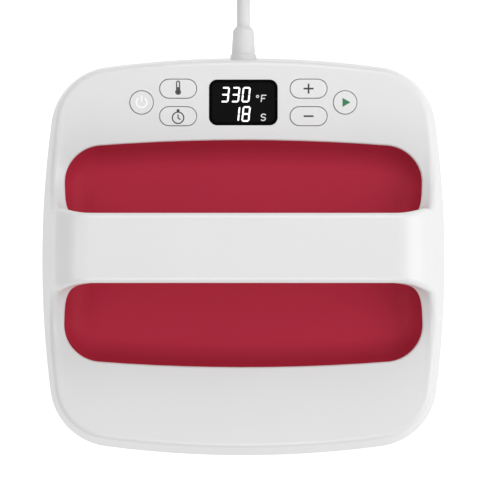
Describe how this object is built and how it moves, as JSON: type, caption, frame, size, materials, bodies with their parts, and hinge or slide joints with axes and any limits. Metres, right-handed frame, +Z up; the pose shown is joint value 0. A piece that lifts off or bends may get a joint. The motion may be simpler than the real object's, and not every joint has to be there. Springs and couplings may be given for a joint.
{
  "type": "handheld heat press",
  "caption": "Square handheld heat press with a bridge handle over a sunken finger well, a key and display panel, a heated plate and a coiled mains cord.",
  "frame": {"origin": "centre of the press on the surface that the heated plate stands on", "axes": "+Z up, +X along the handle to the right, +Y from the user's side to the cord's side"},
  "size_m": [0.2854, 0.4272, 0.1088],
  "materials": {
    "shell": "satin",
    "accent": "satin",
    "platen": "matt non-stick coating",
    "element": "satin",
    "felt": "matt",
    "sheet_metal": "mill finish",
    "ceramic": "glazed",
    "screw_steel": "zinc plated",
    "black_plastic": "matt",
    "window": "glossy",
    "board": "solder mask",
    "capacitor": "sleeved",
    "terminal_green": "matt",
    "lead": "matt",
    "ribbon": "matt",
    "cord": "satin",
    "tie": "matt",
    "blade": "nickel plated",
    "key": "satin"
  },
  "bodies": {
    "press": {"upper_housing": "shell", "lower_skirt": "shell", "handle_lining": "accent", "grip_well": "accent", "heat_plate": "platen", "heating_element": "element", "insulation_blanket": "felt", "heat_shield": "sheet_metal", "plate_spacers": "ceramic", "plate_screws": "screw_steel", "plate_small_screws": "screw_steel", "housing_screws": "screw_steel", "handle_screws": "screw_steel", "well_screws": "screw_steel", "temperature_sensor": "screw_steel", "thermal_cutoffs": "ceramic", "cutoff_strap": "sheet_metal", "terminal_beads": "ceramic", "terminal_tabs": "screw_steel", "switch_bodies": "black_plastic", "display_lens": "window", "display_module": "black_plastic", "control_board": "board", "control_board_screws": "screw_steel", "buzzer": "black_plastic", "power_board": "board", "power_board_screws": "screw_steel", "transformer": "black_plastic", "relay": "black_plastic", "capacitors": "capacitor", "triac": "black_plastic", "triac_heatsink": "sheet_metal", "terminal_block": "terminal_green", "fuse": "ceramic", "mains_leads": "lead", "heater_leads": "lead", "ribbon_cable": "ribbon", "strain_relief": "cord", "cord_inner_end": "cord", "cord_clamp": "black_plastic", "clamp_screws": "screw_steel", "power_cord": "cord", "cord_coil": "cord", "plug_cord": "cord", "cord_tie": "tie", "plug_body": "cord", "plug_blades": "blade", "plug_earth_pin": "blade"},
    "power_key": {"power_button": "key", "power_plunger": "black_plastic"},
    "temperature_key": {"temperature_button": "key", "temperature_plunger": "black_plastic"},
    "timer_key": {"timer_button": "key", "timer_plunger": "black_plastic"},
    "plus_key": {"plus_button": "key", "plus_plunger": "black_plastic"},
    "minus_key": {"minus_button": "key", "minus_plunger": "black_plastic"},
    "start_key": {"start_button": "key", "start_plunger": "black_plastic"}
  },
  "joints": [
    {"name": "power_press", "type": "slide", "parent": "press", "child": "power_key", "axis": [0, 0, -1], "range_m": [0, 0.0007], "stiffness_N_per_m": 1500, "springref_m": -0.0003},
    {"name": "temperature_press", "type": "slide", "parent": "press", "child": "temperature_key", "axis": [0, 0, -1], "range_m": [0, 0.0007], "stiffness_N_per_m": 1500, "springref_m": -0.0003},
    {"name": "timer_press", "type": "slide", "parent": "press", "child": "timer_key", "axis": [0, 0, -1], "range_m": [0, 0.0007], "stiffness_N_per_m": 1500, "springref_m": -0.0003},
    {"name": "plus_press", "type": "slide", "parent": "press", "child": "plus_key", "axis": [0, 0, -1], "range_m": [0, 0.0007], "stiffness_N_per_m": 1500, "springref_m": -0.0003},
    {"name": "minus_press", "type": "slide", "parent": "press", "child": "minus_key", "axis": [0, 0, -1], "range_m": [0, 0.0007], "stiffness_N_per_m": 1500, "springref_m": -0.0003},
    {"name": "start_press", "type": "slide", "parent": "press", "child": "start_key", "axis": [0, 0, -1], "range_m": [0, 0.0007], "stiffness_N_per_m": 1500, "springref_m": -0.0003}
  ]
}
